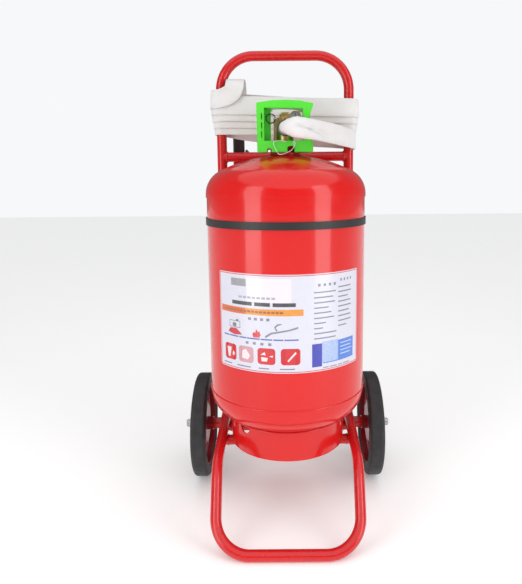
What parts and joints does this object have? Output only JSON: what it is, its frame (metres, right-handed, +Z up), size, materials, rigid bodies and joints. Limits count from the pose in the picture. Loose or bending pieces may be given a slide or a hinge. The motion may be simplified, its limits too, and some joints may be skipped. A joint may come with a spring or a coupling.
{
  "type": "wheeled fire extinguisher",
  "caption": "Wheeled dry-powder fire extinguisher: steel tank strapped to a tube trolley, with valve guard, gauge, wound flat hose and spray gun.",
  "frame": {"origin": "on the floor, in the middle of the footprint, under the tank axis", "axes": "+Z up along the tank axis, -Y to the front where the foot bar, label and valve outlet are, +X along the axle to the right seen from the front"},
  "size_m": [0.4756, 0.4493, 0.9626],
  "materials": {
    "tank_paint": "glossy red stove enamel over steel sheet",
    "frame_paint": "red powder coat over steel tube",
    "wheel_paint": "dark red paint on pressed steel",
    "tyre": "solid black rubber with mould lines",
    "bush_plastic": "white nylon",
    "zinc_steel": "zinc-plated steel",
    "band_black": "black rubber-faced steel band",
    "label_film": null,
    "brass": "forged brass, lightly tarnished",
    "dark_steel": "blackened steel",
    "guard_green": "bright green moulded plastic",
    "hose_canvas": "white woven lay-flat hose jacket",
    "gun_dark": "dark moulded plastic",
    "gauge_glass": "clear lens",
    "dial_white": "white dial",
    "needle_red": "red needle",
    "tie_white": "white plastic security tie",
    "seal_rubber": "black rubber gasket"
  },
  "bodies": {
    "frame": {"axle": "zinc_steel", "axle_nut_left": "zinc_steel", "axle_nut_right": "zinc_steel", "axle_tube": "frame_paint", "axle_washer_left": "zinc_steel", "axle_washer_right": "zinc_steel", "band_bolt": "zinc_steel", "band_saddle_left": "frame_paint", "band_saddle_right": "frame_paint", "base_skirt": "tank_paint", "bottom_head": "tank_paint", "clamp_band": "band_black", "cradle_tube_1": "frame_paint", "cradle_tube_2": "frame_paint", "cylinder_barrel": "tank_paint", "foot_tube": "frame_paint", "gauge_body": "brass", "gauge_dial": "dial_white", "gauge_lens": "gauge_glass", "gun_body": "gun_dark", "gun_ferrule": "brass", "gun_holder": "frame_paint", "gun_nozzle": "gun_dark", "handle_tube": "frame_paint", "hose_ferrule": "zinc_steel", "hose_lead": "hose_canvas", "hose_tail": "hose_canvas", "hose_winding": "hose_canvas", "lever_pivot": "zinc_steel", "neck_ring": "tank_paint", "neck_seal": "seal_rubber", "seal_tie": "tie_white", "siphon_tube": "zinc_steel", "tank_label": "label_film", "top_head": "tank_paint", "upper_crossbar": "frame_paint", "valve_body": "brass", "valve_guard": "guard_green"},
    "wheel_left": {"tyre_left": "tyre", "wheel_disc_left": "wheel_paint", "hub_bush_left": "bush_plastic"},
    "wheel_right": {"tyre_right": "tyre", "wheel_disc_right": "wheel_paint", "hub_bush_right": "bush_plastic"},
    "lever": {"valve_lever": "brass"},
    "stem": {"valve_stem": "zinc_steel"},
    "pin": {"safety_pin": "zinc_steel"},
    "ring": {"pull_ring": "dark_steel"},
    "needle": {"gauge_needle": "needle_red"},
    "coupling_nut": {"outlet_nut": "dark_steel"},
    "gun_valve": {"gun_ball": "zinc_steel", "gun_lever": "gun_dark"}
  },
  "joints": [
    {"name": "wheel_left_spin", "type": "hinge", "parent": "frame", "child": "wheel_left", "pos_m": [-0.1955, 0.10766, 0.117], "axis": [1, 0, 0], "continuous": true},
    {"name": "wheel_right_spin", "type": "hinge", "parent": "frame", "child": "wheel_right", "pos_m": [0.1955, 0.10766, 0.117], "axis": [1, 0, 0], "continuous": true},
    {"name": "lever_press", "type": "hinge", "parent": "frame", "child": "lever", "pos_m": [0, -0.014, 0.812], "axis": [-1, 0, 0], "range_deg": [0, 6], "stiffness_Nm_per_rad": 2, "springref_deg": -2.86},
    {"name": "stem_slide", "type": "slide", "parent": "frame", "child": "stem", "axis": [0, 0, -1], "range_m": [0, 0.003]},
    {"name": "pin_pull", "type": "slide", "parent": "frame", "child": "pin", "axis": [0, -1, 0], "range_m": [0, 0.035]},
    {"name": "ring_swing", "type": "hinge", "parent": "pin", "child": "ring", "pos_m": [-0.019, -0.025, 0.806], "axis": [0, 0, 1], "range_deg": [0, 90]},
    {"name": "needle_turn", "type": "hinge", "parent": "frame", "child": "needle", "pos_m": [0.02, -0.034, 0.808], "axis": [0, 1, 0], "range_deg": [-120, 120], "stiffness_Nm_per_rad": 0.001},
    {"name": "nut_spin", "type": "hinge", "parent": "frame", "child": "coupling_nut", "pos_m": [0, -0.053, 0.785], "axis": [0, -1, 0], "continuous": true},
    {"name": "gun_lever_turn", "type": "hinge", "parent": "frame", "child": "gun_valve", "pos_m": [-0.106, 0.152, 0.747], "axis": [-1, 0, 0], "range_deg": [0, 90]}
  ],
  "couplings": [
    {"joint": "stem_slide", "follows": "lever_press", "m_per_rad": 0.0215}
  ]
}
